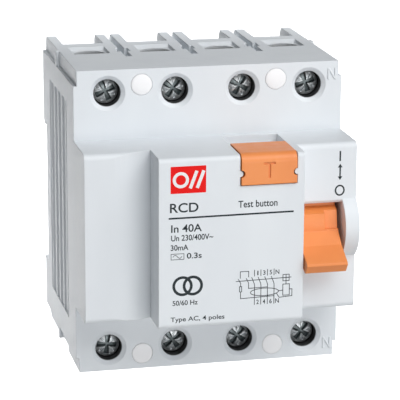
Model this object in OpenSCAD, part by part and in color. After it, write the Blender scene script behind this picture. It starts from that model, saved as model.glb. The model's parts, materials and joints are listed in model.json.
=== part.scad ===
// Four-pole residual current device for a 35 mm top-hat rail.
// X runs across the poles, Y from front (-) to rail (+), Z up.
// The origin is the middle of the rail seat. All lengths are millimetres.

/* [Body] */
// Width of one pole module
pole_pitch = 18; // [17.5:0.1:18]
// Overall height of the body
body_h = 82; // [80:0.5:85]
// Distance from the rail seat to the terminal shoulder
shoulder_depth = 45.5; // [44:0.5:46]
// Distance from the rail seat to the joint between cover and case
split_depth = 34.5; // [34:0.5:35]
// Height of the raised nose
nose_h = 45; // [44:0.5:45]
// How far the side sections of the nose stand ahead of the shoulder
nose_out = 15.5; // [15:0.5:16]
// How far the middle panel stands ahead of the shoulder
panel_out = 23.4; // [23:0.2:24]
// Thickness of the moulded walls
wall = 2; // [1.6:0.1:2.2]
// How far the ears reach behind the rail seat
ear_back = 5; // [5:0.2:6]

/* [Terminals] */
// Height of a screw row above or below the middle
screw_row_z = 34.8; // [34.4:0.1:34.8]
// Radius of the wire entry hole
wire_r = 4.2; // [3.8:0.1:4.2]
// Depth of the wire entry hole ahead of the rail seat
wire_depth = 19.1; // [19:0.1:19.3]
// Radius of the terminal screw shank
shank_r = 2.45; // [2.3:0.05:2.45]

/* [Handle] */
// Radius of the handle barrel
barrel_r = 12.3; // [12:0.1:12.4]
// Handle axis ahead of the rail seat
handle_depth = 49.8; // [49.6:0.1:50]

/* [Contacts] */
// Angle of the moving contacts away from closed
open_angle = 21.9; // [20:0.1:22]

/* [Hidden] */
$fn = 64;

poles = 4;
body_w = poles * pole_pitch;
half_w = body_w / 2;
half_h = body_h / 2;
half_nose = nose_h / 2;
shoulder_y = -shoulder_depth;
split_y = -split_depth;
nose_y = shoulder_y - nose_out;
panel_y = shoulder_y - panel_out;
eps = 0.01;

// Middle panel, from its left wall to its right wall
panel_x0 = -18.4;
panel_x1 = 19.7;

// How far the left face of the nose falls back towards the panel
face_fall = 2.6;

// Side ledges and the gaps between the poles
ledge_in = 0.9;
ledge_h = 4;
gap_front_y = -28.5;
cross_y = -19.2;
cross_w = 3.6;
cross_len = 4.6;

// Grip panel on each side
grip_z0 = -29;
grip_z1 = 31;

// Caps over the case screws, beyond the screw rows
cap_z = screw_row_z + 2;

// Terminal chamber, one behind each screw
chamber_w = 13.2;
chamber_z0 = 25.5;
chamber_z1 = 38.9;
mouth_half = 4.9;
chamber_back_y = -12.6;
web_t = 2;
web_front_y = shoulder_y + 5.3;
web_back_y = web_front_y + web_t;
screw_well_r = 3.6;
screw_face_r = 4.7;
shank_clear = 0.05;

// Terminal screw, clamp and fixed plate along Y
head_r = 3.35;
head_t = 2.2;
head_front_y = web_front_y - head_t;
shank_end_y = -25.7;
nut_y0 = -31.8;
nut_t = 3.6;
clamp_back_y = -13.4;
clamp_t = 1.3;
clamp_half_w = 6;
clamp_half_h = 3.9;
plate_y = -24.8;
plate_t = 1.4;
plate_w = 8.8;

// Contact carrier
carrier_y = -24;
carrier_z = 3;
carrier_r = 4;
shaft_r = 1.5;
pivot_clear = 0.06;
blade_w = 6;
blade_t = 1.4;
blade_y = 4.9;
tip_t = 1.2;
fixed_tip_y = -16.2;
lever_arm = 9;
lever_x = 26.6;
lever_t = 2;
link_pin_r = 1;

// Conductors through the transformer
core_y = -19;
core_z = -13;
lead_r = 1.3;
braid_r = 1.1;

// Handle
handle_y = -handle_depth;
handle_x0 = 20.1;
handle_x1 = 31;
window_x0 = panel_x1;
window_x1 = 32.2;
window_z0 = -7.8;
window_z1 = 5.6;
barrel_gap = 0.25;
cheek_r = 9.3;
cheek_y = -55.8;
crank_r = 6;
crank_t = 3.2;
link_t = 2;

// Mechanism frame and trip lever
frame_t = 1;
frame_x0 = 18.9;
frame_x1 = 33;
trip_x = 21;
trip_y = -40;
trip_z = -12;
trip_t = 2;

// Relay
relay_x0 = -6;
relay_x1 = 12;
relay_y0 = -62;
relay_y1 = -46;
relay_z0 = -20.5;
relay_z1 = -5;
relay_wall = 1;
relay_axis_z = -12;
coil_y = -54;
plunger_y = -52;
plunger_r = 1.2;

// Test button
button_x0 = 3;
button_x1 = 17.6;
button_z0 = 14.7;
button_proud = 0.5;
button_back_y = -57;
button_gap = 0.25;
button_stem_r = 1.5;
pocket_back_y = -48;
stem_z = 17;
notch_z = 17.6;
stem_end_y = -52;
guide_y = -58.2;
guide_t = 2;
pocket_depth = 1.85;
button_mid_x = (button_x0 + button_x1) / 2;

// Leaf of the test contact
leaf_y = -51.3;
leaf_z = 10;
leaf_pin_r = 0.7;

// Rail clip
clip_w = 16;
clip_y0 = 0.7;
clip_y1 = 3.5;
clip_top_z = -16.6;
clip_bottom_z = -half_h + 0.35;
clip_window_z0 = -38.2;
clip_window_z1 = -24.3;
clip_post_z = -36;
clip_post_t = 1.4;

function pole_x(i) = (i - (poles - 1) / 2) * pole_pitch;

// A box between two corners
module block(a, b) {
    translate(a) cube(b - a);
}

// A cylinder along Y from y0 to y1
module rod_y(x, z, y0, y1, r) {
    translate([x, y0, z]) rotate([-90, 0, 0]) cylinder(h = y1 - y0, r = r);
}

// A cylinder along X from x0 to x1
module rod_x(y, z, x0, x1, r) {
    translate([x0, y, z]) rotate([0, 90, 0]) cylinder(h = x1 - x0, r = r);
}

// A cylinder along Z from z0 to z1
module rod_z(x, y, z0, z1, r) {
    translate([x, y, z0]) cylinder(h = z1 - z0, r = r);
}

// A profile drawn in Y and Z, extruded along X
module extrude_x(x0, x1) {
    translate([x0, 0, 0]) rotate([90, 0, 90]) linear_extrude(height = x1 - x0) children();
}

// A compression spring: one wire swept along a helix
module coil_spring(length, coil_r, wire_r, turns) {
    per_turn = 12;
    sides = 6;
    rings = turns * per_turn;
    span = length - 2 * wire_r;
    points = [
        for (i = [0 : rings])
            for (s = [0 : sides - 1])
                let (
                    a = 360 * i / per_turn,
                    b = 360 * s / sides,
                    r = coil_r + wire_r * cos(b)
                )
                [r * cos(a), r * sin(a), wire_r + span * i / rings + wire_r * sin(b)]
    ];
    skin = [
        for (i = [0 : rings - 1])
            for (s = [0 : sides - 1])
                let (
                    p = i * sides + s,
                    q = i * sides + (s + 1) % sides
                )
                [p, p + sides, q + sides, q]
    ];
    ends = [
        [for (s = [0 : sides - 1]) s],
        [for (s = [sides - 1 : -1 : 0]) rings * sides + s]
    ];
    polyhedron(points = points, faces = concat(skin, ends));
}

// Front of the left section: flat, then falling back towards the panel
function left_face() =
    let (
        flat_x = -29.5,
        steps = 8
    )
    [
        for (i = [0 : steps])
            let (t = i / steps)
            [flat_x + (panel_x0 - flat_x) * t, nose_y + face_fall * (1 - cos(90 * t))]
    ];

// Plan of the nose, grown inwards by a wall thickness for the hollow
module nose_plan(inset) {
    x0 = -half_w + inset;
    x1 = half_w - inset;
    back = split_y + (inset > 0 ? eps : 0);
    polygon(concat(
        [[x0, back], [x0, nose_y + inset]],
        [for (p = left_face()) [p[0], p[1] + inset]],
        [[panel_x0 + inset, nose_y + face_fall + inset]],
        [[panel_x0 + inset, panel_y + inset], [panel_x1 - inset, panel_y + inset]],
        [[panel_x1 - inset, nose_y + inset], [x1, nose_y + inset], [x1, back]]
    ));
}

// Side view of the nose, with its front edges rounded
module nose_side(front_y, round_r, drop) {
    top = half_nose - drop;
    difference() {
        translate([front_y, -top]) square([split_y - front_y, 2 * top]);
        for (s = [-1, 1])
            translate([front_y, s * top])
                difference() {
                    square(2 * round_r, center = true);
                    translate([round_r, -s * round_r]) circle(r = round_r);
                }
    }
}

module nose_outside() {
    intersection() {
        translate([0, 0, -half_h]) linear_extrude(height = body_h) nose_plan(0);
        union() {
            extrude_x(-half_w, half_w) nose_side(nose_y, 1.5, 0);
            extrude_x(panel_x0, panel_x1) nose_side(panel_y, 1.2, 0);
        }
    }
    intersection() {
        rod_x(cheek_y, -0.3, window_x1, half_w, cheek_r);
        block([window_x1, cheek_y - cheek_r, -half_nose], [half_w, nose_y + wall, half_nose]);
    }
}

// Ledges down both sides at the top and the bottom of the body
module side_ledges(y0, y1) {
    for (s = [-1, 1])
        for (t = [-1, 1])
            block(
                [s > 0 ? half_w - ledge_in : -half_w - 1, y0, t > 0 ? half_h - ledge_h : -half_h - 1],
                [s > 0 ? half_w + 1 : -half_w + ledge_in, y1, t > 0 ? half_h + 1 : -half_h + ledge_h]
            );
}

module terminal_chambers(y0, y1) {
    for (i = [0 : poles - 1])
        for (s = [-1, 1])
            block(
                [pole_x(i) - chamber_w / 2, y0, s > 0 ? chamber_z0 : -chamber_z1],
                [pole_x(i) + chamber_w / 2, y1, s > 0 ? chamber_z1 : -chamber_z0]
            );
}

// Light relief of a flat face round the screw: a shallow cove, then the well
module screw_wells() {
    for (i = [0 : poles - 1])
        for (s = [-1, 1]) {
            translate([pole_x(i), shoulder_y - eps, s * screw_row_z]) rotate([-90, 0, 0])
                cylinder(h = 0.9, r1 = screw_face_r, r2 = screw_well_r);
            rod_y(pole_x(i), s * screw_row_z, shoulder_y, web_front_y, screw_well_r);
            rod_y(pole_x(i), s * screw_row_z, web_front_y - eps, web_back_y + eps,
                shank_r + shank_clear);
        }
}

module cap_and_screw_holes() {
    for (x = [-pole_pitch, pole_pitch])
        for (s = [-1, 1]) {
            rod_y(x, s * cap_z, shoulder_y - eps, shoulder_y + 2.7, 2.85);
            rod_y(x, s * cap_z, shoulder_y + 2.6, split_y + eps, 1.4);
        }
}

// Window of the handle, hollowed round the barrel, with a bevel along its top
module handle_window() {
    inner_y = nose_y + wall + 1;
    block([window_x0, nose_y - 4, window_z0], [window_x1, inner_y, window_z1]);
    rod_x(handle_y, 0, window_x0, window_x1, barrel_r + barrel_gap);
    extrude_x(window_x0, window_x1)
        polygon([[nose_y - eps, window_z1 - eps], [nose_y - eps, window_z1 + 1.6],
            [nose_y + 1, window_z1 - eps]]);
}

// Opening of the test button and the pocket that it slides back into
module button_opening() {
    x0 = button_x0 - button_gap;
    x1 = button_x1 + button_gap;
    z0 = button_z0 - button_gap;
    block([x0, panel_y - 1, z0], [x1, guide_y - 0.1, half_nose + 1]);
    block([x0, guide_y - 0.2, half_nose - pocket_depth], [x1, pocket_back_y, half_nose + 1]);
}

// Floor under the pocket, and the web that guides the stem
module button_guide() {
    x0 = button_x0 - 2;
    x1 = button_x1 + 1.8;
    difference() {
        union() {
            block([x0, guide_y, half_nose - pocket_depth - 1.35],
                [x1, pocket_back_y + 1.5, half_nose - wall + 0.3]);
            block([x0, guide_y, 12.5], [x1, guide_y + guide_t, half_nose - wall]);
        }
        rod_y(button_mid_x, stem_z, guide_y - 1, guide_y + guide_t + 1, button_stem_r + pivot_clear);
    }
}

// Wall beside the barrel, behind the cheek
module window_wall() {
    block([window_x1, nose_y + wall - 0.5, window_z0 - 2], [frame_x1 - 0.05, handle_y - 2.2, 9]);
}

// Bumps on the sides of the button opening, in the notches of the button
module button_bumps() {
    for (x = [button_x0 - button_gap, button_x1 + button_gap])
        rod_y(x, notch_z, panel_y, panel_y + 2, 0.8);
}

// Raised letter N beside the last screws
module neutral_mark(z) {
    height = 3;
    width = 2.3;
    stroke = 0.45;
    translate([half_w - ledge_in - 2.9, shoulder_y - 0.2, z]) {
        block([0, 0, 0], [stroke, 0.4, height]);
        block([width - stroke, 0, 0], [width, 0.4, height]);
        translate([0, 0.4, 0]) rotate([90, 0, 0]) linear_extrude(height = 0.4)
            polygon([[0, height], [stroke, height], [width, 0], [width - stroke, 0]]);
    }
}

module front_cover() color([0.89, 0.90, 0.93]) {
    difference() {
        union() {
            difference() {
                union() {
                    block([-half_w, shoulder_y, -half_h], [half_w, split_y, half_h]);
                    nose_outside();
                }
                side_ledges(shoulder_y - 1, split_y + 1);
                intersection() {
                    translate([0, 0, -half_h]) linear_extrude(height = body_h) nose_plan(wall);
                    block([-half_w, panel_y, -half_nose + wall], [half_w, 0, half_nose - wall]);
                }
            }
            button_guide();
            window_wall();
        }
        terminal_chambers(web_back_y, split_y + 1);
        screw_wells();
        cap_and_screw_holes();
        handle_window();
        button_opening();
    }
    button_bumps();
    neutral_mark(36.1);
    neutral_mark(-38.9);
}

// Side view of the rear case, from the joint to the ears
module rear_side() {
    polygon([
        [split_y, -half_h], [-28.5, -half_h], [-26.9, -half_h + 1.6], [-19, -half_h + 1.6],
        [-18, -half_h + 0.6], [2, -half_h + 0.6], [5, -half_h + 2.6], [5, -22.8], [0.4, -22.8],
        [0.4, -16.2], [0, -16.2], [0, 16.2], [0.4, 16.2], [0.4, 17.8], [1.3, 17.8], [2.1, 16.4],
        [ear_back - 1.2, 16.4], [ear_back, 17.8], [ear_back, half_h - 1.5],
        [ear_back - 1.5, half_h], [split_y, half_h]
    ]);
}

// Narrow gaps between the poles, for phase barriers, at the top and the bottom
module pole_gaps() {
    for (i = [1 : poles - 1])
        for (s = [-1, 1]) {
            x = pole_x(i) - pole_pitch / 2;
            z0 = s > 0 ? half_h - ledge_h : -half_h - 1;
            z1 = s > 0 ? half_h + 1 : -half_h + ledge_h;
            block([x - ledge_in, gap_front_y, z0], [x + ledge_in, ear_back + 1, z1]);
            block([x - cross_w / 2, cross_y - cross_len / 2, z0],
                [x + cross_w / 2, cross_y + cross_len / 2, z1]);
        }
}

// Cut-out behind each wire entry, between two fins
module rear_notches() {
    fin = 3.4;
    floor_z = half_h - 4.2;
    for (i = [0 : poles - 1])
        for (s = [-1, 1])
            mirror([0, 0, s > 0 ? 0 : 1])
                extrude_x(pole_x(i) - pole_pitch / 2 + fin, pole_x(i) + pole_pitch / 2 - fin)
                    polygon([[-8.8, half_h + 1], [-8.8, half_h], [-6.6, floor_z],
                        [ear_back + 1, floor_z], [ear_back + 1, half_h + 1]]);
}

module wire_entries() {
    mouth_depth = 0.8;
    for (i = [0 : poles - 1])
        for (s = [-1, 1]) {
            rod_z(pole_x(i), -wire_depth, s > 0 ? chamber_z1 - 1 : -half_h - 1,
                s > 0 ? half_h + 1 : -chamber_z1 + 1, wire_r);
            mirror([0, 0, s > 0 ? 0 : 1])
                extrude_x(pole_x(i) - mouth_half, pole_x(i) + mouth_half)
                    polygon([[-wire_depth - wire_r, half_h + 1],
                        [-wire_depth - wire_r, half_h - mouth_depth],
                        [-wire_depth + wire_r, half_h - mouth_depth],
                        [-wire_depth + wire_r + 1.5, half_h], [-wire_depth + wire_r + 1.5, half_h + 1]]);
        }
}

// Raised surrounds of the lower wire entries, where the underside steps in
module lower_mouth_bosses() {
    rim = 1.1;
    for (i = [0 : poles - 1])
        block([pole_x(i) - mouth_half - rim, -wire_depth - wire_r - rim, -half_h + 0.6],
            [pole_x(i) + mouth_half + rim, -wire_depth + wire_r + rim, -chamber_z1 - 0.3]);
}

// Shallow panel with upright grip ribs on each side
module grip_recess() {
    for (s = [-1, 1])
        block([s > 0 ? half_w - 0.45 : -half_w - 1, split_y, grip_z0],
            [s > 0 ? half_w + 1 : -half_w + 0.45, -6.4, grip_z1]);
}

module grip_ribs() {
    rib_r = 0.62;
    for (s = [-1, 1])
        for (k = [0 : 4])
            intersection() {
                rod_z(s * (half_w - 0.42), split_y + 1.6 + 6 * k, grip_z0 + 0.1, grip_z1 - 0.1, rib_r);
                block([-half_w, split_y, grip_z0], [half_w, 0, grip_z1]);
            }
}

module clip_slot() {
    block([-clip_w / 2 - 0.3, clip_y0 - 0.3, -half_h - 1], [clip_w / 2 + 0.3, clip_y1 + 0.3, -22.7]);
    block([-clip_w / 2 + 2, clip_y1, -half_h - 1], [clip_w / 2 - 2, ear_back + 1, -22.7]);
}

module rear_case() color([0.85, 0.87, 0.91]) {
    difference() {
        union() {
            extrude_x(-half_w, half_w) rear_side();
            lower_mouth_bosses();
        }
        side_ledges_rear();
        pole_gaps();
        rear_notches();
        wire_entries();
        grip_recess();
        terminal_chambers(split_y - 1, chamber_back_y);
        block([-half_w + wall, split_y - 1, -24], [half_w - wall, -wall, 24]);
        plate_slots();
        clip_slot();
        for (x = [-pole_pitch, pole_pitch])
            for (s = [-1, 1])
                rod_y(x, s * cap_z, split_y - 1, -29.4, 1.25);
    }
    grip_ribs();
    shaft_bosses();
    clip_post();
}

// The rear part of the side ledges stops at an upright rib and goes on behind it
module side_ledges_rear() {
    rib_y = -17.2;
    rib_t = 2.4;
    side_ledges(split_y - 1, rib_y - rib_t / 2);
    side_ledges(rib_y + rib_t / 2, ear_back + 1);
}

module plate_slots() {
    for (i = [0 : poles - 1])
        for (s = [-1, 1])
            block(
                [pole_x(i) - plate_w / 2 - 0.1, plate_y - 0.1, s > 0 ? 23 : -chamber_z0 - 1],
                [pole_x(i) + plate_w / 2 + 0.1, plate_y + plate_t + 0.1, s > 0 ? chamber_z0 + 1 : -23]
            );
}

module shaft_bosses() {
    for (s = [-1, 1])
        difference() {
            rod_x(carrier_y, carrier_z, s > 0 ? half_w - wall - 1.5 : -half_w + wall - 0.5,
                s > 0 ? half_w - wall + 0.5 : -half_w + wall + 1.5, 3.2);
            rod_x(carrier_y, carrier_z, s > 0 ? half_w - wall - 2 : -half_w + wall - 0.1,
                s > 0 ? half_w - wall + 0.1 : -half_w + wall + 2, shaft_r + 0.02);
        }
}

module clip_post() {
    block([-1.8, clip_y0 - 0.4, clip_post_z], [1.8, clip_y1 - 0.2, clip_post_z + clip_post_t]);
}

// Four caps over the case screws, slightly domed
module sealing_caps() color("white") {
    cap_r = 2.8;
    dome_h = 0.35;
    steps = 6;
    for (x = [-pole_pitch, pole_pitch])
        for (s = [-1, 1])
            translate([x, shoulder_y, s * cap_z]) rotate([90, 0, 0])
                rotate_extrude()
                    polygon(concat(
                        [[0, -1.1], [cap_r, -1.1]],
                        [for (i = [0 : steps]) cap_r * [cos(90 * i / steps), 0]
                            + dome_h * [0, sin(90 * i / steps)]]
                    ));
}

module case_screws() color("silver") {
    for (x = [-pole_pitch, pole_pitch])
        for (s = [-1, 1])
            difference() {
                union() {
                    rod_y(x, s * cap_z, shoulder_y + 1.4, shoulder_y + 2.7, 2.5);
                    rod_y(x, s * cap_z, shoulder_y + 2.6, -29.6, 1.25);
                }
                rod_y(x, s * cap_z, shoulder_y + 1.3, shoulder_y + 2, 0.9);
            }
}

// Captive clamping screw with a combined slot and cross recess
module terminal_screw(i, s) color([0.45, 0.46, 0.48]) {
    recess = 1.4;
    slot_half = head_r + 0.5;
    turn = 23 + 41 * i + 12 * s;
    difference() {
        union() {
            intersection() {
                rod_y(pole_x(i), s * screw_row_z, head_front_y, web_front_y, head_r);
                translate([pole_x(i), head_front_y + 8, s * screw_row_z]) sphere(r = 8);
            }
            rod_y(pole_x(i), s * screw_row_z, web_front_y - 0.2, shank_end_y, shank_r);
        }
        translate([pole_x(i), head_front_y - eps, s * screw_row_z]) rotate([0, turn, 0]) {
            block([-slot_half, 0, -0.45], [slot_half, recess, 0.45]);
            block([-0.45, 0, -2.2], [0.45, recess, 2.2]);
        }
    }
}

// Clamp cage: a nut in front, two sides, and a bar that lifts the wire to the plate
module terminal_clamp(i, s) color([0.80, 0.78, 0.66]) {
    x = pole_x(i);
    z0 = s * screw_row_z - clamp_half_h;
    z1 = s * screw_row_z + clamp_half_h;
    difference() {
        block([x - clamp_half_w, nut_y0, z0], [x + clamp_half_w, clamp_back_y, z1]);
        block([x - clamp_half_w + clamp_t, nut_y0 + nut_t, z0 - 1],
            [x + clamp_half_w - clamp_t, clamp_back_y - clamp_t, z1 + 1]);
        rod_y(x, s * screw_row_z, nut_y0 - 1, nut_y0 + nut_t + 1, shank_r + shank_clear);
    }
}

// Copper strip from the upper clamp to the fixed contact
module line_terminal(i) color([0.80, 0.50, 0.30]) {
    x = pole_x(i);
    block([x - plate_w / 2, plate_y, 20.8], [x + plate_w / 2, plate_y + plate_t, 38.2]);
    block([x - blade_w / 2, plate_y, 20.8], [x + blade_w / 2, fixed_tip_y + 2.6, 22.2]);
    block([x - blade_w / 2, fixed_tip_y + tip_t, 13.4], [x + blade_w / 2, fixed_tip_y + 2.6, 22.2]);
}

module fixed_contact_tips() color([0.85, 0.85, 0.86]) {
    for (i = [0 : poles - 1])
        block([pole_x(i) - 2, fixed_tip_y, 14], [pole_x(i) + 2, fixed_tip_y + tip_t, 18]);
}

// Copper strip from the lower clamp, with the lead that passes through the transformer
module load_terminal(i) color([0.80, 0.50, 0.30]) {
    x = pole_x(i);
    side = x < 0 ? -1 : 1;
    lead_x = side * 3;
    outer = i == 0 || i == poles - 1;
    lead_y = outer ? core_y + 3 : core_y - 3;
    strip_z = outer ? -23.4 : -20.8;
    strip_t = 1.2;
    lead_top = outer ? -4.1 : -1.5;
    block([x - plate_w / 2, plate_y, -38.2], [x + plate_w / 2, plate_y + plate_t, strip_z + strip_t]);
    if (outer)
        block([x - 1.5, plate_y, strip_z], [x + 1.5, lead_y + 1.5, strip_z + strip_t]);
    block([min(x, lead_x) - 1.3, lead_y - 1.5, strip_z], [max(x, lead_x) + 1.3, lead_y + 1.5,
        strip_z + strip_t]);
    rod_z(lead_x, lead_y, strip_z, outer ? -7 : -4.4, lead_r);
    rod_z(lead_x, lead_y, outer ? -7.1 : -4.5, lead_top - braid_r - 1.2, braid_r);
}

// Flexible leads from the transformer to the moving contacts
module flexible_braids() color([0.86, 0.55, 0.35]) {
    for (i = [0 : poles - 1]) {
        x = pole_x(i);
        side = x < 0 ? -1 : 1;
        outer = i == 0 || i == poles - 1;
        lead_x = side * 3;
        lead_y = outer ? core_y + 3 : core_y - 3;
        back_y = core_y + 3;
        run_z = outer ? -5.2 : -2.6;
        rod_z(lead_x, lead_y, run_z - 1, run_z, braid_r);
        translate([lead_x, lead_y, run_z]) sphere(r = braid_r);
        rod_x(lead_y, run_z, min(x, lead_x), max(x, lead_x), braid_r);
        translate([x, lead_y, run_z]) sphere(r = braid_r);
        if (!outer)
            rod_y(x, run_z, lead_y, back_y, braid_r);
        translate([x, back_y, run_z]) sphere(r = braid_r);
        rod_z(x, back_y, run_z, 6, braid_r);
    }
}

// Places a part of the carrier, drawn closed, at the open position
module on_carrier() {
    translate([0, carrier_y, carrier_z]) rotate([open_angle, 0, 0]) children();
}

module moving_contact(i) color([0.80, 0.50, 0.30]) {
    x = pole_x(i);
    on_carrier()
        difference() {
            block([x - blade_w / 2, blade_y, 1], [x + blade_w / 2, blade_y + blade_t, 15.5]);
            block([x - 0.5, blade_y - 1, 9.5], [x + 0.5, blade_y + 2 * blade_t, 16]);
        }
}

module moving_contact_tips() color([0.85, 0.85, 0.86]) {
    for (i = [0 : poles - 1])
        for (s = [-1, 1])
            on_carrier()
                block([pole_x(i) + s * 1.8 - 1.1, blade_y + blade_t, 11],
                    [pole_x(i) + s * 1.8 + 1.1, blade_y + blade_t + tip_t, 15]);
}

// Moulded carrier that turns all the moving contacts together
module contact_carrier() color([0.25, 0.27, 0.30]) {
    end_x = 32;
    difference() {
        union() {
            rod_x(carrier_y, carrier_z, -end_x, end_x, carrier_r);
            on_carrier()
                for (i = [0 : poles - 1])
                    block([pole_x(i) - 3.4, 1, 0], [pole_x(i) + 3.4, blade_y, 8.8]);
            block([lever_x, carrier_y - 1.6, carrier_z - lever_arm], [lever_x + lever_t,
                carrier_y + 1.6, carrier_z]);
            rod_x(carrier_y, carrier_z - lever_arm, lever_x, lever_x + lever_t, 1.6);
        }
        rod_x(carrier_y, carrier_z, -end_x - 1, end_x + 1, shaft_r + pivot_clear);
    }
    rod_x(carrier_y, carrier_z - lever_arm, lever_x - link_t - 0.6, lever_x + 0.2, link_pin_r);
}

module carrier_shaft() color("silver") {
    rod_x(carrier_y, carrier_z, -half_w + wall + 0.1, half_w - wall - 0.1, shaft_r);
}

// A ring with a rectangular section round the transformer axis
module ring(r0, r1, z0, z1) {
    translate([0, core_y, core_z]) rotate_extrude() translate([r0, z0]) square([r1 - r0, z1 - z0]);
}

module transformer_case() color([0.15, 0.16, 0.18]) {
    difference() {
        union() {
            ring(5.9, 13, -5.5, 5.5);
            block([-6, core_y + 11.6, core_z - 5.5], [6, -wall, core_z + 5.5]);
        }
        ring(6.7, 12.2, -4.7, 4.7);
    }
}

module transformer_core() color([0.55, 0.56, 0.60]) {
    ring(8.2, 10.8, -2.6, 2.6);
}

module transformer_winding() color([0.72, 0.38, 0.18]) {
    difference() {
        ring(7.1, 11.9, -3.7, 3.7);
        ring(8.1, 10.9, -2.7, 2.7);
    }
}

module relay_housing() color([0.20, 0.22, 0.26]) {
    difference() {
        block([relay_x0, relay_y0, relay_z0], [relay_x1, relay_y1, relay_z1]);
        block([relay_x0 + relay_wall, relay_y0 + relay_wall, relay_z0 + relay_wall],
            [relay_x1 - relay_wall, relay_y1 - relay_wall, relay_z1 - relay_wall]);
        rod_x(plunger_y, relay_axis_z, relay_x1 - 2, relay_x1 + 1, plunger_r + pivot_clear);
    }
}

module relay_coil() color([0.72, 0.38, 0.18]) {
    rod_x(coil_y, relay_axis_z, relay_x0 + 1.6, 4.6, 4.2);
    rod_x(coil_y, relay_axis_z, relay_x0 + relay_wall, relay_x0 + 1.7, 5.6);
    rod_x(coil_y, relay_axis_z, 4.5, 5.2, 5.6);
}

module relay_armature() color("silver") {
    difference() {
        block([6, -59, -17.5], [7.2, -49, -7]);
        rod_y(6.6, -17, -60, -48, 0.35);
    }
}

module relay_plunger() color([0.85, 0.86, 0.88]) {
    rod_x(plunger_y, relay_axis_z, 8, 14, plunger_r);
    rod_x(plunger_y, relay_axis_z, 8.5, 9.2, 1.9);
}

// Two steel plates that carry the handle pin
module mechanism_frame() color([0.70, 0.71, 0.73]) {
    for (x = [frame_x0, frame_x1])
        difference() {
            union() {
                block([x, -56, -8], [x + frame_t, -36, 8]);
                block([x, -44, 7], [x + frame_t, -38, half_nose - wall]);
            }
            rod_x(handle_y, 0, x - 1, x + frame_t + 1, shaft_r + 0.02);
            rod_x(-40, 4, x - 1, x + frame_t + 1, 1.8);
        }
}

// Bell crank that the relay pushes to release the latch
module trip_lever() color([0.78, 0.70, 0.30]) {
    arm_r = 1.3;
    difference() {
        union() {
            rod_z(trip_x, trip_y, trip_z, trip_z + trip_t, 2.4);
            hull() {
                rod_z(trip_x, trip_y, trip_z, trip_z + trip_t, arm_r);
                rod_z(15.7, plunger_y, trip_z, trip_z + trip_t, arm_r);
            }
            hull() {
                rod_z(trip_x, trip_y, trip_z, trip_z + trip_t, arm_r);
                rod_z(29.5, trip_y + 2.4, trip_z, trip_z + trip_t, arm_r);
            }
        }
        rod_z(trip_x, trip_y, trip_z - 1, trip_z + trip_t + 1, 1.2 + pivot_clear);
    }
}

module trip_lever_pin() color("silver") {
    rod_z(trip_x, trip_y, -half_nose + wall, trip_z + trip_t + 1.4, 1.2);
    rod_z(trip_x, trip_y, -half_nose + wall, trip_z - 0.4, 2);
}

// Link from the crank of the handle to the lever of the carrier
module drive_link() color([0.70, 0.71, 0.73]) {
    x0 = lever_x - link_t - 0.3;
    x1 = lever_x - 0.3;
    z1 = carrier_z - lever_arm;
    far_eye = 1.75;
    difference() {
        union() {
            rod_x(handle_y, -crank_r, x0, x1, 1.9);
            extrude_x(x0, x1)
                polygon([[handle_y, -crank_r - 1], [handle_y, -crank_r + 1],
                    [carrier_y, z1 + 1], [carrier_y, z1 - 1]]);
            rod_x(carrier_y, z1, x0, x1, 3);
        }
        rod_x(carrier_y, z1, x0 - 1, x1 + 1, far_eye);
    }
    rod_x(handle_y, -crank_r, x0 - crank_t, x0 + 0.1, link_pin_r);
}

// Side view of the paddle at the end of the handle, in the off position
module paddle_side() {
    polygon([
        [-56, -0.6], [handle_y - 12.1, -0.6], [-65.4, -3.7], [-71.2, -6.8], [-71.4, -7.4],
        [-69.8, -9.6], [-69.2, -9.7], [-65.3, -8], [handle_y - 12, -7.2], [-56, -6.6]
    ]);
}

module handle() color([0.95, 0.58, 0.32]) {
    x0 = handle_x0;
    x1 = handle_x1;
    crank_x1 = lever_x - link_t - 0.5;
    difference() {
        union() {
            intersection() {
                rod_x(handle_y, 0, x0, x1, barrel_r);
                block([x0, handle_y - barrel_r - 1, -barrel_r - 1], [x1, handle_y - 2.5,
                    barrel_r + 1]);
            }
            extrude_x(x0, x1) paddle_side();
            rod_x(handle_y, 0, x0, x1, 3.6);
            block([x0, handle_y - 6, -3], [x1, handle_y, 3]);
            block([x0, handle_y - 2, -crank_r], [crank_x1, handle_y + 2, 0]);
            rod_x(handle_y, -crank_r, x0, crank_x1, 2);
        }
        rod_x(handle_y, 0, x0 - 1, x1 + 1, shaft_r + pivot_clear);
        rod_x(handle_y, -crank_r, x0 - 1, crank_x1 + 1, link_pin_r + pivot_clear);
        extrude_x(x0 - 1, x1 + 1)
            polygon([[handle_y - 13, 3.7], [handle_y - 11.6, 3.8], [handle_y - 8.6, 5.2],
                [handle_y - 8.6, 9], [handle_y - 13, 9]]);
        extrude_x(27.4, x1 + 1)
            polygon([[handle_y - 14, -0.3], [handle_y - 14, 5.6], [handle_y - 10.4, 4.8],
                [handle_y - 11.4, -0.3]]);
        block([lever_x - link_t - 0.8, handle_y - 6.4, -10], [lever_x + 0.2, handle_y + 5, -2.8]);
    }
}

module handle_pin() color("silver") {
    rod_x(handle_y, 0, 18.7, 34, shaft_r);
}

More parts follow.
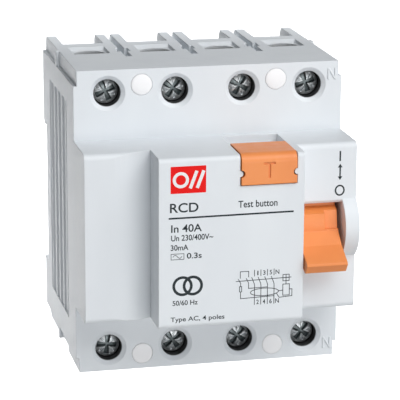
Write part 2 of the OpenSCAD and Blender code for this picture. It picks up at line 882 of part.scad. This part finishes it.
// L-shaped test button whose top runs back over the edge of the panel
module test_button() color([0.95, 0.58, 0.32]) {
    front = panel_y - button_proud;
    top = half_nose + 0.25;
    corner_r = 2.4;
    plate = 1.9;
    difference() {
        union() {
            extrude_x(button_x0, button_x1)
                difference() {
                    translate([front, button_z0]) square([button_back_y - front, top - button_z0]);
                    translate([front + plate, button_z0 - 1])
                        square([button_back_y - front, top - button_z0 + 1 - plate]);
                    translate([front, top]) difference() {
                        square(2 * corner_r, center = true);
                        translate([corner_r, -corner_r]) circle(r = corner_r);
                    }
                }
            extrude_x(button_x0, button_x1)
                polygon([[front + plate - 0.2, top - plate + 0.2], [front + plate - 0.2, top - 3.4],
                    [front + 3.6, top - plate + 0.2]]);
            rod_y(button_mid_x, stem_z, front + 1, stem_end_y - 2, button_stem_r);
            rod_y(button_mid_x, stem_z, stem_end_y - 2.1, stem_end_y, 1.2);
        }
        for (x = [button_x0, button_x1])
            rod_y(x, notch_z, front - 1, front + plate + 0.4, 0.95);
        translate([button_mid_x, front - eps, 0]) {
            block([-1.5, 0, 19.9], [1.5, 0.35, 20.4]);
            block([-0.28, 0, 16.4], [0.28, 0.35, 19.95]);
        }
    }
}

module test_button_spring() color("silver") {
    start = guide_y - 0.15;
    translate([button_mid_x, start, stem_z]) rotate([90, 0, 0])
        coil_spring(9, 2.1, 0.3, 6);
}

// Leaf that the stem of the test button closes
module test_contact() color([0.80, 0.60, 0.30]) {
    leaf_w = 4.8;
    leaf_t = 0.6;
    x0 = button_mid_x - leaf_w / 2;
    x1 = button_mid_x + leaf_w / 2;
    difference() {
        union() {
            block([x0, leaf_y - leaf_t / 2, leaf_z], [x1, leaf_y + leaf_t / 2, leaf_z + 9]);
            rod_x(leaf_y, leaf_z, x0, x1, 1.3);
        }
        rod_x(leaf_y, leaf_z, x0 - 1, x1 + 1, leaf_pin_r + pivot_clear);
    }
}

module test_contact_pin() color("silver") {
    rod_x(leaf_y, leaf_z, button_mid_x - 7, frame_x0, leaf_pin_r);
}

// Wire-ended resistor of the test circuit
module test_resistor() color([0.55, 0.70, 0.75]) {
    rod_x(-44, 15, -12, -3, 1.5);
    rod_x(-44, 15, -16, 0, 0.4);
}

// Sliding clip under the rail, with a pull slot at its lower end
module din_clip() color([0.30, 0.31, 0.33]) {
    difference() {
        union() {
            block([-clip_w / 2, clip_y0, clip_bottom_z], [clip_w / 2, clip_y1, -21.4]);
            extrude_x(-clip_w / 2, clip_w / 2)
                polygon([[1.3, -21.5], [1.3, clip_top_z], [2, clip_top_z], [clip_y1, -19],
                    [clip_y1, -21.5]]);
        }
        block([-2.2, clip_y0 - 1, clip_window_z0], [2.2, clip_y1 + 1, clip_window_z1]);
        block([-3, clip_y1 - 1.3, clip_bottom_z - 1], [3, clip_y1 + 1, clip_bottom_z + 1]);
    }
}

module din_clip_spring() color("silver") {
    translate([0, (clip_y0 + clip_y1) / 2, clip_post_z + clip_post_t + 0.1])
        coil_spring(clip_window_z1 - clip_post_z - clip_post_t - 0.2, 1.05, 0.25, 7);
}

rear_case();
front_cover();
sealing_caps();
case_screws();
terminal_screw(0, 1);  // terminal_screw_top_1
terminal_screw(1, 1);  // terminal_screw_top_2
terminal_screw(2, 1);  // terminal_screw_top_3
terminal_screw(3, 1);  // terminal_screw_top_n
terminal_screw(0, -1);  // terminal_screw_bottom_1
terminal_screw(1, -1);  // terminal_screw_bottom_2
terminal_screw(2, -1);  // terminal_screw_bottom_3
terminal_screw(3, -1);  // terminal_screw_bottom_n
terminal_clamp(0, 1);  // terminal_clamp_top_1
terminal_clamp(1, 1);  // terminal_clamp_top_2
terminal_clamp(2, 1);  // terminal_clamp_top_3
terminal_clamp(3, 1);  // terminal_clamp_top_n
terminal_clamp(0, -1);  // terminal_clamp_bottom_1
terminal_clamp(1, -1);  // terminal_clamp_bottom_2
terminal_clamp(2, -1);  // terminal_clamp_bottom_3
terminal_clamp(3, -1);  // terminal_clamp_bottom_n
line_terminal(0);  // line_terminal_1
line_terminal(1);  // line_terminal_2
line_terminal(2);  // line_terminal_3
line_terminal(3);  // line_terminal_n
load_terminal(0);  // load_terminal_1
load_terminal(1);  // load_terminal_2
load_terminal(2);  // load_terminal_3
load_terminal(3);  // load_terminal_n
fixed_contact_tips();
moving_contact(0);  // moving_contact_1
moving_contact(1);  // moving_contact_2
moving_contact(2);  // moving_contact_3
moving_contact(3);  // moving_contact_n
moving_contact_tips();
contact_carrier();
carrier_shaft();
flexible_braids();
transformer_case();
transformer_core();
transformer_winding();
relay_housing();
relay_coil();
relay_armature();
relay_plunger();
mechanism_frame();
trip_lever();
trip_lever_pin();
drive_link();
handle();
handle_pin();
test_button();
test_button_spring();
test_contact();
test_contact_pin();
test_resistor();
din_clip();
din_clip_spring();
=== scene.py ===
import json
import math
import random

import bmesh
import bpy
from mathutils import Matrix, Vector


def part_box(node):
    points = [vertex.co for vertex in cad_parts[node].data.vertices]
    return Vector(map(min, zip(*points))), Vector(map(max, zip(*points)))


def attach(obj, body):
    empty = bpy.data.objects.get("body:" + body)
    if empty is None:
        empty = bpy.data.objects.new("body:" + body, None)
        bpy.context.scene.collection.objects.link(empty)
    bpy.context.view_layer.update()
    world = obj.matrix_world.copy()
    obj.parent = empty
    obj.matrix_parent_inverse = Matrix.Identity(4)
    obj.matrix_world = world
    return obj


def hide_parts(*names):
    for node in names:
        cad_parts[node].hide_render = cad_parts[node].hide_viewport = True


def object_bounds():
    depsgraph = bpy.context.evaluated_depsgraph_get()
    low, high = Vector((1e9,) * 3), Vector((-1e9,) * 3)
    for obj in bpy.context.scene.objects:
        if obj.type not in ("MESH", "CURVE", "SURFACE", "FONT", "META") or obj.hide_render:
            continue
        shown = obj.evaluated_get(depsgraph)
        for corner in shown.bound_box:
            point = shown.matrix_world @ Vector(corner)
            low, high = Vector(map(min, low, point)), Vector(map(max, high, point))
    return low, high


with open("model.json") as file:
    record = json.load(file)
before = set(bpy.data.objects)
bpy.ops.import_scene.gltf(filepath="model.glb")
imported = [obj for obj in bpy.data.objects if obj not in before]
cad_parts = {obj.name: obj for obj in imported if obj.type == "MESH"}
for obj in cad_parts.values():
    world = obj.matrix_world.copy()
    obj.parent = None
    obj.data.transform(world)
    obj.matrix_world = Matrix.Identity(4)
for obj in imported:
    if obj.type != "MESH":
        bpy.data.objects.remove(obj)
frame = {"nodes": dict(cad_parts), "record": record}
cad_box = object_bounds()
record = frame["record"]
nodes = frame["nodes"]

MM = 0.001
POLE_PITCH = 18 * MM
SCREW_ROW = 34.8 * MM
WIRE_DEPTH = 19.1 * MM
HALF_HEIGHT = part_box("front_cover")[1].z

# how far round and how deep the shells get painted shade, a near-black colour, in the screw wells and the
# wire entries
WELL_R, WELL_EDGE, WELL_DEEP = 3.8 * MM, -44.75 * MM, -44.3 * MM
BORE_R, BORE_DEEP, BORE_EDGE = 4.35 * MM, 2.2 * MM, 0.7 * MM

# the printed faces: the middle panel and the nose beside it
PANEL_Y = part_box("front_cover")[0].y
SIDE_Y = -61.0 * MM


# ---------------------------------------------------------------- materials


class Material:
    """A principled material and short calls to add nodes to it."""

    def __init__(self, name):
        self.material = bpy.data.materials.new(name)
        self.material.use_nodes = True
        self.tree = self.material.node_tree
        self.shader = self.tree.nodes["Principled BSDF"]
        self.coords = self.add("ShaderNodeTexCoord").outputs["Object"]

    def add(self, kind, sockets=None, **settings):
        node = self.tree.nodes.new(kind)
        for key, value in settings.items():
            setattr(node, key, value)
        for key, value in (sockets or {}).items():
            if isinstance(value, bpy.types.NodeSocket):
                self.tree.links.new(value, node.inputs[key])
            else:
                node.inputs[key].default_value = value
        return node

    def math(self, operation, *values):
        node = self.add("ShaderNodeMath", operation=operation)
        for socket, value in zip(node.inputs, values):
            if isinstance(value, bpy.types.NodeSocket):
                self.tree.links.new(value, socket)
            else:
                socket.default_value = value
        return node.outputs[0]

    def noise(self, scale, detail=3.0, stretch=(1, 1, 1), roughness=0.55):
        mapped = self.add("ShaderNodeMapping", {"Vector": self.coords, "Scale": stretch})
        return self.add(
            "ShaderNodeTexNoise",
            {"Vector": mapped.outputs[0], "Scale": scale, "Detail": detail, "Roughness": roughness},
        ).outputs["Fac"]

    def ramp(self, fac, low, high, start=0.35, end=0.65):
        return self.add(
            "ShaderNodeMapRange",
            {"Value": fac, "From Min": start, "From Max": end, "To Min": low, "To Max": high},
        ).outputs["Result"]

    def mix(self, fac, a, b):
        node = self.add("ShaderNodeMix", data_type="RGBA")
        for socket, value in ((node.inputs[0], fac), (node.inputs[6], a), (node.inputs[7], b)):
            if isinstance(value, bpy.types.NodeSocket):
                self.tree.links.new(value, socket)
            elif isinstance(value, tuple):
                socket.default_value = (*value, 1)
            else:
                socket.default_value = value
        return node.outputs[2]

    def surface(self, color, roughness, height=None, distance=0.0, edge=0.0, **values):
        tree = self.tree
        tree.links.new(color, self.shader.inputs["Base Color"])
        tree.links.new(roughness, self.shader.inputs["Roughness"])
        normal = None
        if edge:
            normal = self.add("ShaderNodeBevel", {"Radius": edge}, samples=6).outputs[0]
        if height is not None:
            bump = self.add("ShaderNodeBump", {"Height": height, "Distance": distance, "Strength": 1})
            if normal is not None:
                tree.links.new(normal, bump.inputs["Normal"])
            normal = bump.outputs[0]
        if normal is not None:
            tree.links.new(normal, self.shader.inputs["Normal"])
        for key, value in values.items():
            self.shader.inputs[key.replace("_", " ")].default_value = value
        return self.material


def moulded(name, light, dark, rough=(0.38, 0.5), edge=0.0003, grain=0.000012, **values):
    """Spark-eroded moulded plastic: fine grain, slight flow marks and uneven gloss."""
    m = Material(name)
    flow = m.noise(55, 3, (1, 1, 0.35))
    color = m.mix(m.ramp(flow, 0, 1), dark, light)
    speckle = m.noise(5200, 2)
    color = m.mix(m.ramp(speckle, 0, 0.16, 0.5, 0.72), color, dark)
    roughness = m.ramp(m.noise(420, 4), rough[0], rough[1])
    height = m.math("ADD", m.noise(3200, 3), m.math("MULTIPLY", flow, 1.5))
    return m.surface(color, roughness, height, grain, edge, **values)


def housing():
    """The shells' plastic, with painted shade: a near-black colour in the screw wells and the wire entries,
    where no light gets in.
    """
    m = Material("housing_plastic")
    light, dark, shade = (0.79, 0.825, 0.855), (0.755, 0.79, 0.825), (0.012, 0.012, 0.013)
    flow = m.noise(55, 3, (1, 1, 0.35))
    color = m.mix(m.ramp(flow, 0, 1), dark, light)
    color = m.mix(m.ramp(m.noise(5200, 2), 0, 0.16, 0.5, 0.72), color, dark)
    # painted shade: the walls deep in the screw wells get a near-black colour
    place = m.add("ShaderNodeSeparateXYZ", {"Vector": m.coords})
    across = m.math("SUBTRACT", m.math("FLOORED_MODULO", place.outputs[0], POLE_PITCH), POLE_PITCH / 2)
    up = m.math("SUBTRACT", m.math("ABSOLUTE", place.outputs[2]), SCREW_ROW)
    spread = m.math("SQRT", m.math("ADD", m.math("POWER", across, 2.0), m.math("POWER", up, 2.0)))
    inside = m.math("LESS_THAN", spread, WELL_R)
    deep = m.ramp(place.outputs[1], 0, 1, WELL_EDGE, WELL_DEEP)
    color = m.mix(m.math("MULTIPLY", inside, deep), color, shade)
    # painted shade: the walls down inside the wire entries get a near-black colour
    back = m.math("ADD", place.outputs[1], WIRE_DEPTH)
    spread = m.math("SQRT", m.math("ADD", m.math("POWER", across, 2.0), m.math("POWER", back, 2.0)))
    bore = m.math("LESS_THAN", spread, BORE_R)
    level = m.math("ABSOLUTE", place.outputs[2])
    under = m.ramp(level, 0.75, 0, HALF_HEIGHT - BORE_DEEP, HALF_HEIGHT - BORE_EDGE)
    color = m.mix(m.math("MULTIPLY", bore, under), color, shade)
    roughness = m.ramp(m.noise(420, 4), 0.4, 0.52)
    height = m.math("ADD", m.noise(3200, 3), m.math("MULTIPLY", flow, 1.5))
    return m.surface(color, roughness, height, 0.000012, 0.00025, Specular_IOR_Level=0.45)


def metal(name, light, dark, rough=(0.25, 0.45), brushed=(1, 1, 9), edge=0.0001, **values):
    """Plated or bare metal with drawing marks, dull patches and fine scratches."""
    m = Material(name)
    patches = m.noise(380, 4)
    color = m.mix(m.ramp(patches, 0, 1), dark, light)
    marks = m.noise(1500, 4, brushed)
    wear = m.math("ADD", m.math("MULTIPLY", marks, 0.6), m.math("MULTIPLY", patches, 0.4))
    roughness = m.ramp(wear, *rough)
    return m.surface(color, roughness, marks, 0.00001, edge, Metallic=1.0, **values)


def winding(name, light, dark):
    """Enamelled wire: fine turns side by side."""
    m = Material(name)
    turns = m.add(
        "ShaderNodeTexWave",
        {"Vector": m.coords, "Scale": 700, "Distortion": 1.2, "Detail": 2},
        bands_direction="X",
    ).outputs["Fac"]
    color = m.mix(turns, dark, light)
    return m.surface(color, m.ramp(m.noise(900), 0.22, 0.4), turns, 0.00004, Metallic=0.8)


def ink(name, light, dark):
    """Pad-printed ink with slightly uneven cover."""
    m = Material(name)
    cover = m.noise(2600, 4)
    color = m.mix(m.ramp(cover, 0, 1), dark, light)
    return m.surface(color, m.ramp(m.noise(700), 0.5, 0.7), cover, 0.000003, Specular_IOR_Level=0.15)


def screw_metal():
    """Zinc-plated steel on the lands of the head, with painted shade: a dark colour in its recess."""
    m = Material("screw_steel")
    patches = m.noise(900, 4)
    land = m.mix(m.ramp(patches, 0, 1), (0.50, 0.53, 0.55), (0.80, 0.83, 0.84))
    # painted shade: a dark colour for the cross recess, chosen by the recess depth
    deep = m.mix(m.ramp(patches, 0, 1), (0.10, 0.12, 0.125), (0.20, 0.225, 0.23))
    recess = m.add("ShaderNodeAttribute", attribute_name="recess").outputs["Fac"]
    color = m.mix(m.ramp(recess, 0, 1, 0.25, 0.75), land, deep)
    roughness = m.ramp(m.noise(1500, 4), 0.3, 0.5)
    return m.surface(color, roughness, m.noise(2200, 3), 0.00002, Metallic=0.85)


MATERIALS = {
    "housing_grey": housing(),
    "cap_white": moulded("cap_plastic", (0.97, 0.97, 0.98), (0.92, 0.92, 0.94), (0.3, 0.42)),
    "orange_plastic": moulded(
        "orange_plastic", (0.90, 0.30, 0.082), (0.85, 0.265, 0.07), (0.34, 0.46)
    ),
    "dark_plastic": moulded("dark_plastic", (0.035, 0.036, 0.04), (0.02, 0.02, 0.023), (0.4, 0.55)),
    "bright_steel": metal("bright_steel", (0.72, 0.72, 0.74), (0.58, 0.58, 0.6)),
    "screw_steel": screw_metal(),
    "clamp_steel": metal("clamp_steel", (0.66, 0.62, 0.46), (0.5, 0.47, 0.36)),
    "copper": metal("copper", (0.9, 0.5, 0.33), (0.72, 0.37, 0.24)),
    "winding_copper": winding("winding_copper", (0.78, 0.34, 0.16), (0.4, 0.15, 0.07)),
    "contact_silver": metal("contact_silver", (0.9, 0.89, 0.86), (0.74, 0.73, 0.7)),
    "brass_leaf": metal("brass_leaf", (0.8, 0.6, 0.27), (0.62, 0.44, 0.18)),
    "resistor_body": moulded("resistor_body", (0.36, 0.45, 0.4), (0.27, 0.36, 0.32), (0.5, 0.65)),
}
INK_DARK = ink("ink_dark", (0.04, 0.05, 0.055), (0.024, 0.032, 0.036))
INK_RED = ink("ink_red", (0.88, 0.012, 0.01), (0.82, 0.009, 0.008))
INK_WHITE = ink("ink_white", (0.92, 0.92, 0.92), (0.84, 0.84, 0.85))

for subpart in record["subparts"]:
    data = nodes[subpart["node"]].data
    data.materials.clear()
    data.materials.append(MATERIALS[subpart["material_slot"]])
    for polygon in data.polygons:
        polygon.material_index = 0


def finish_piece(mesh, name, material, body="case"):
    """Makes an object of a mesh, with a material, on a body."""
    piece = bpy.data.objects.new(name, mesh)
    bpy.context.scene.collection.objects.link(piece)
    mesh.materials.clear()
    mesh.materials.append(material)
    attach(piece, body)
    return piece


# ---------------------------------------------------------------- printing

INK_THICK = 0.012 * MM
INK_LAYER = 0.0006 * MM


def stroke_mesh(bm, points, width, y, closed=False):
    """Adds a flat mitred ribbon along points (x, z in mm), standing proud of the plane y."""
    points = [Vector(p) * MM for p in points]
    count = len(points)
    half = width * MM / 2
    rows = []
    for i, point in enumerate(points):
        before = points[i - 1] if closed or i else None
        after = points[(i + 1) % count] if closed or i < count - 1 else None
        steps = [(b - a).normalized() for a, b in ((before, point), (point, after)) if a and b]
        along = sum(steps, Vector((0, 0))).normalized()
        side = Vector((-along.y, along.x)) * half / max(0.5, along.dot(steps[0]))
        reach = Vector((0, 0)) if len(steps) == 2 else along * half * (1 if before else -1)
        rows.append([
            bm.verts.new((q.x, y + level, q.y))
            for q, level in (
                (point + reach - side, -INK_THICK), (point + reach + side, -INK_THICK),
                (point + reach + side, INK_THICK), (point + reach - side, INK_THICK),
            )
        ])
    for a, b in zip(rows, rows[1:] + rows[:1] if closed else rows[1:]):
        for k in range(4):
            bm.faces.new((a[k], a[(k + 1) % 4], b[(k + 1) % 4], b[k]))
    if not closed:
        bm.faces.new(rows[0])
        bm.faces.new(rows[-1])


def add_prism(bm, outline, y):
    """Adds a thin plate with this outline (x, z in metres) on the plane y."""
    front = [bm.verts.new((p.x, y - INK_THICK, p.y)) for p in outline]
    back = [bm.verts.new((p.x, y + INK_THICK, p.y)) for p in outline]
    bm.faces.new(front)
    for i in range(len(front)):
        j = (i + 1) % len(front)
        bm.faces.new((front[i], back[i], back[j], front[j]))


def printed(name, strokes, material=INK_DARK, y=PANEL_Y):
    """One printed mark made of strokes: (points, width, closed)."""
    bm = bmesh.new()
    for order, (points, width, closed) in enumerate(strokes):
        stroke_mesh(bm, points, width, y - order * INK_LAYER, closed)
    bmesh.ops.recalc_face_normals(bm, faces=bm.faces)
    mesh = bpy.data.meshes.new(name)
    bm.to_mesh(mesh)
    bm.free()
    finish_piece(mesh, name, material)


def printed_text(name, body, x0, x1, z0, z1, heavy=0.035):
    """A line of generic characters fitted between x0, x1 and z0, z1 (mm) on the panel."""
    curve = bpy.data.curves.new(name, "FONT")
    curve.body = body
    curve.size = (z1 - z0) * MM / 0.7
    curve.offset = heavy * MM
    curve.extrude = INK_THICK
    curve.resolution_u = 6
    text = bpy.data.objects.new(name, curve)
    bpy.context.scene.collection.objects.link(text)
    mesh = bpy.data.meshes.new_from_object(text)
    bpy.data.objects.remove(text)
    lows = [min(v.co[k] for v in mesh.vertices) for k in (0, 1)]
    highs = [max(v.co[k] for v in mesh.vertices) for k in (0, 1)]
    stretch = [(b - a) * MM / (high - low) for a, b, low, high in zip((x0, z0), (x1, z1), lows, highs)]
    mesh.transform(
        Matrix.Translation((x0 * MM, PANEL_Y, z0 * MM))
        @ Matrix.Rotation(math.radians(90), 4, "X")
        @ Matrix.Diagonal((*stretch, 1, 1))
        @ Matrix.Translation((-lows[0], -lows[1], 0))
    )
    finish_piece(mesh, name, INK_DARK)


def ring(cx, cz, r, count=48, flat=1.0, start=0, end=360):
    """Points on a circle or an arc, in mm, flattened in z."""
    span = math.radians(end - start)
    steps = count if end - start >= 360 else count + 1
    return [
        (
            cx + r * math.cos(math.radians(start) + span * i / count),
            cz + r * flat * math.sin(math.radians(start) + span * i / count),
        )
        for i in range(steps)
    ]


def printed_shape(name, outline, material=INK_DARK, y=PANEL_Y):
    """One printed shape with this outline (x, z in mm)."""
    bm = bmesh.new()
    add_prism(bm, [Vector(p) * MM for p in outline], y)
    bmesh.ops.recalc_face_normals(bm, faces=bm.faces)
    mesh = bpy.data.meshes.new(name)
    bm.to_mesh(mesh)
    bm.free()
    finish_piece(mesh, name, material)


def rounded_block(x0, x1, z0, z1, r=0.12):
    """Outline of a rectangle with just-rounded corners."""
    corners = ((x1 - r, z1 - r, 0), (x0 + r, z1 - r, 90), (x0 + r, z0 + r, 180), (x1 - r, z0 + r, 270))
    return [p for cx, cz, a in corners for p in ring(cx, cz, r, 4, start=a, end=a + 90)]


# a plain red block with a generic white ring and two slanted bars
printed_shape("red_block", rounded_block(-15.35, -6.15, 13.35, 20.4), INK_RED)
printed(
    "red_block_mark",
    [
        (ring(-12.7, 16.85, 1.7), 0.8, True),
        ([(-10.1, 15.0), (-8.7, 18.7)], 0.85, False),
        ([(-8.3, 15.0), (-6.9, 18.7)], 0.85, False),
    ],
    INK_WHITE,
    PANEL_Y - INK_THICK,
)
printed("rule_line", [([(-15.6, 6.9), (16.7, 7.05)], 0.45, False)])
printed_text("type_text", "RCD", -15.5, -8.1, 8.35, 10.85, 0.05)
printed_text("test_text", "Test button", 2.3, 12.6, 8.75, 10.6)
printed_text("current_text", "In 40A", -15.2, -7.2, 3.15, 5.2, 0.04)
printed_text("voltage_text", "Un 230/400V~", -15.2, -4.2, 0.9, 2.45)
printed_text("leakage_text", "30mA", -15.3, -10.7, -1.6, -0.1)
printed_text("time_text", "0.3s", -11.1, -7.2, -3.9, -2.4)
printed_text("frequency_text", "50/60 Hz", -14.8, -8.2, -16.3, -14.95, 0.03)
printed_text("kind_text", "Type AC, 4 poles", -15.3, -1.1, -21.0, -19.4, 0.03)
turns = [i / 16 for i in range(17)]
printed(
    "wave_box",
    [
        ([(-15.2, -4.0), (-11.85, -4.0), (-11.85, -2.5), (-15.2, -2.5)], 0.15, True),
        ([(-14.7 + 2.3 * t, -3.25 + 0.42 * math.sin(math.tau * t)) for t in turns], 0.15, False),
    ],
)
# the generic sign of a transformer: two linked rings
printed(
    "transformer_mark",
    [(ring(-12.2, -11.15, 2.3), 0.72, True), (ring(-9.5, -11.15, 2.3), 0.72, True)],
)

# circuit diagram: test circuit, four switched lines through the ring, relay and its link
LINES = (6.8, 8.5, 10.25, 12.0)
THIN = 0.18
diagram = [
    ([(3.0, -10.0), (3.0, -8.3), (5.2, -8.3), (5.2, -9.8)], THIN, False),
    ([(1.9, -10.85), (16.5, -10.55)], THIN, False),
    ([(2.5, -10.3), (3.1, -11.4), (3.1, -12.3)], THIN, False),
    ([(4.6, -10.2), (5.2, -11.4), (5.2, -12.9), (10.2, -12.8)], THIN, False),
    ([(2.82, -12.3), (3.38, -12.3), (3.38, -13.7), (2.82, -13.7)], THIN, True),
    ([(3.1, -13.7), (3.1, -15.55), (12.0, -15.3)], THIN, False),
    (ring(9.45, -14.1, 3.75, 40, 0.27), THIN, True),
    ([(14.35, -9.75), (16.0, -9.75), (16.0, -11.45), (14.35, -11.45)], THIN, True),
    ([(14.35, -10.6), (16.0, -10.6)], THIN, False),
    ([(15.18, -9.75), (15.18, -12.3)], THIN, False),
    ([(14.35, -12.35), (16.1, -12.35), (16.1, -15.35), (14.35, -15.35)], THIN, True),
    ([(13.15, -14.1), (14.35, -13.95)], THIN, False),
    ([(12.7, -14.75), (13.4, -15.85), (16.8, -15.6), (16.8, -13.75), (16.1, -13.75)], THIN, False),
]
for line in LINES:
    diagram += [
        ([(line - 0.05, -8.1), (line - 0.05, -9.65)], THIN, False),
        ([(line - 0.75, -10.05), (line - 0.1, -11.7), (line, -12.2), (line, -17.35)], THIN, False),
    ]
printed("circuit_diagram", diagram)
for number, (top, low) in enumerate(zip("135N", "246N")):
    middle = LINES[number] + 0.85
    for side, text, z in (("line", top, -9.5), ("load", low, -17.3)):
        half = {"1": 0.16, "N": 0.5}.get(text, 0.33)
        printed_text(f"{side}_number_{number}", text, middle - half, middle + half, z, z + 1.2, 0.02)

# on and off marks on the handle's section
printed("on_mark", [([(31.45, 17.8), (31.45, 20.1)], 0.42, False)], y=SIDE_Y)
ARROW = ((0, 16.9), (0.62, 15.9), (0.2, 15.9), (0.2, 13.5), (0.62, 13.5), (0, 12.5))
printed_shape(
    "travel_arrow",
    [(31.5 + x, z) for x, z in ARROW] + [(31.5 - x, z) for x, z in reversed(ARROW[1:-1])],
    y=SIDE_Y,
)
printed("off_mark", [(ring(31.5, 9.75, 1.15, 40, 1.12), 0.42, True)], y=SIDE_Y)


# ---------------------------------------------------------------- screws

random.seed(4)
HEAD_R, SHANK_R, HEAD_DEPTH, TIP_CHAMFER = 3.35, 2.45, 2.2, 0.4


def recess_depth(x, z):
    """Depth in mm of a flared cross with four short ribs between its arms, at a point of the head."""
    r = math.hypot(x, z)
    angle = math.atan2(z, x)
    arm = abs((angle + math.pi / 4) % (math.pi / 2) - math.pi / 4)
    across, along = r * math.sin(arm), r * math.cos(arm)
    floor = min(1.3, max(0.0, (0.5 + 0.13 * along - across) * 5), max(0.0, (2.8 - along) * 4))
    between = abs(angle % (math.pi / 2) - math.pi / 4) * r
    rib = min(0.35, max(0.0, (0.26 - between) * 3), max(0.0, (2.7 - r) * 2))
    return max(floor, rib)


def screw_piece(node, body):
    """A turned screw with a detailed head, in the place of a CAD screw."""
    lo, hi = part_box(node)
    cx, cz = (lo.x + hi.x) / 2, (lo.z + hi.z) / 2
    turn = random.uniform(0, math.tau)
    rings, spokes = 40, 144
    bm = bmesh.new()
    recess = bm.verts.layers.float.new("recess")
    rows = []

    def circle(r, y):
        angles = [math.tau * j / spokes for j in range(spokes)]
        rows.append([bm.verts.new((cx + r * math.cos(a), y, cz + r * math.sin(a))) for a in angles])

    for i in range(1, rings + 1):
        r = HEAD_R * i / rings
        circle(r * MM, lo.y + 0.75 * (i / rings) ** 2.6 * MM)
        for j, vert in enumerate(rows[-1]):
            a = math.tau * j / spokes - turn
            depth = recess_depth(r * math.cos(a), r * math.sin(a))
            vert.co.y += depth * MM
            # the depth is stored to place the painted shade in the recess
            vert[recess] = depth
    centre = bm.verts.new((cx, lo.y + recess_depth(0, 0) * MM, cz))
    centre[recess] = recess_depth(0, 0)
    under_head = lo.y + HEAD_DEPTH * MM
    circle(HEAD_R * MM, under_head)
    circle(SHANK_R * MM, under_head)
    circle(SHANK_R * MM, hi.y - TIP_CHAMFER * MM)
    circle((SHANK_R - TIP_CHAMFER) * MM, hi.y)
    for j in range(spokes):
        k = (j + 1) % spokes
        bm.faces.new((centre, rows[0][j], rows[0][k]))
        for inner, outer in zip(rows, rows[1:]):
            bm.faces.new((inner[j], outer[j], outer[k], inner[k]))
    bm.faces.new(rows[-1])
    bmesh.ops.recalc_face_normals(bm, faces=bm.faces)
    mesh = bpy.data.meshes.new(node + "_turned")
    bm.to_mesh(mesh)
    bm.free()
    piece = finish_piece(mesh, node + "_turned", MATERIALS["screw_steel"], body)
    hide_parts(node)


for node in sorted(nodes):
    if node.startswith("terminal_screw_"):
        screw_piece(node, node)

# ---------------------------------------------------------------- stage

scene = bpy.context.scene
scene.view_settings.view_transform = "Standard"


def stage_material(name, color):
    """Matt paper with slightly uneven tone."""
    m = Material(name)
    grain = m.noise(9, 3)
    tone = m.mix(m.ramp(grain, 0, 1), tuple(0.985 * c for c in color), color)
    return m.surface(tone, m.ramp(m.noise(30), 0.75, 0.9))


FLOOR_HALF, FLOOR_Z = 4.0, cad_box[0].z - 0.1
CORNER_SIGNS = ((-1, -1), (1, -1), (1, 1), (-1, 1))
floor_mesh = bpy.data.meshes.new("floor")
floor_corners = [(FLOOR_HALF * a, FLOOR_HALF * b, FLOOR_Z) for a, b in CORNER_SIGNS]
floor_mesh.from_pydata(floor_corners, [], [(0, 1, 2, 3)])
floor_mesh.materials.append(stage_material("floor_paper", (0.6, 0.6, 0.6)))
floor = bpy.data.objects.new("floor", floor_mesh)
scene.collection.objects.link(floor)

# the room: pale, with its darker end on the left
world = bpy.data.worlds.new("studio")
world.use_nodes = True
room = world.node_tree
direction = room.nodes.new("ShaderNodeTexCoord").outputs["Generated"]
split = room.nodes.new("ShaderNodeSeparateXYZ")
room.links.new(direction, split.inputs[0])
fade = room.nodes.new("ShaderNodeMapRange")
for key, value in {"From Min": -0.9, "From Max": 0.5, "To Min": 0.03, "To Max": 0.36}.items():
    fade.inputs[key].default_value = value
room.links.new(split.outputs[0], fade.inputs["Value"])
background = room.nodes["Background"]
background.inputs["Color"].default_value = (0.96, 0.98, 1.0, 1)
room.links.new(fade.outputs["Result"], background.inputs["Strength"])
scene.world = world


def area_light(name, place, target, size, power):
    """A soft white panel at a place, turned to its target (metres, watts)."""
    light = bpy.data.lights.new(name, "AREA")
    light.shape = "RECTANGLE"
    light.size, light.size_y = size
    light.energy = power
    lamp = bpy.data.objects.new(name, light)
    scene.collection.objects.link(lamp)
    lamp.location = place
    lamp.rotation_euler = (Vector(target) - Vector(place)).to_track_quat("-Z", "Y").to_euler()


area_light("key", (0.38, -0.8, 0.97), (0, -0.03, 0), (1.5, 0.8), 12.6)
area_light("fill", (0.24, -1.1, -0.06), (0, -0.03, 0), (0.9, 0.4), 4.4)
area_light("backdrop", (0.15, 0.33, 0.55), (0.1, 1.35, FLOOR_Z), (1.6, 0.6), 38.0)

# ---------------------------------------------------------------- camera

CAMERA_PLACE = Vector((-123.6, -569.7, 150.4)) * MM
CAMERA_TARGET = Vector((-2.31, -45.5, 4.91)) * MM
CAMERA_ROLL = math.radians(0.27)
LENS = 189.35
camera_data = bpy.data.cameras.new("camera")
camera_data.sensor_width = 36
camera_data.lens = LENS
camera = bpy.data.objects.new("camera", camera_data)
scene.collection.objects.link(camera)
camera.location = CAMERA_PLACE
aim = (CAMERA_TARGET - CAMERA_PLACE).to_track_quat("-Z", "Y").to_matrix().to_4x4()
camera.rotation_euler = (aim @ Matrix.Rotation(CAMERA_ROLL, 4, "Z")).to_euler()
camera_data.clip_start = 0.01
scene.camera = camera
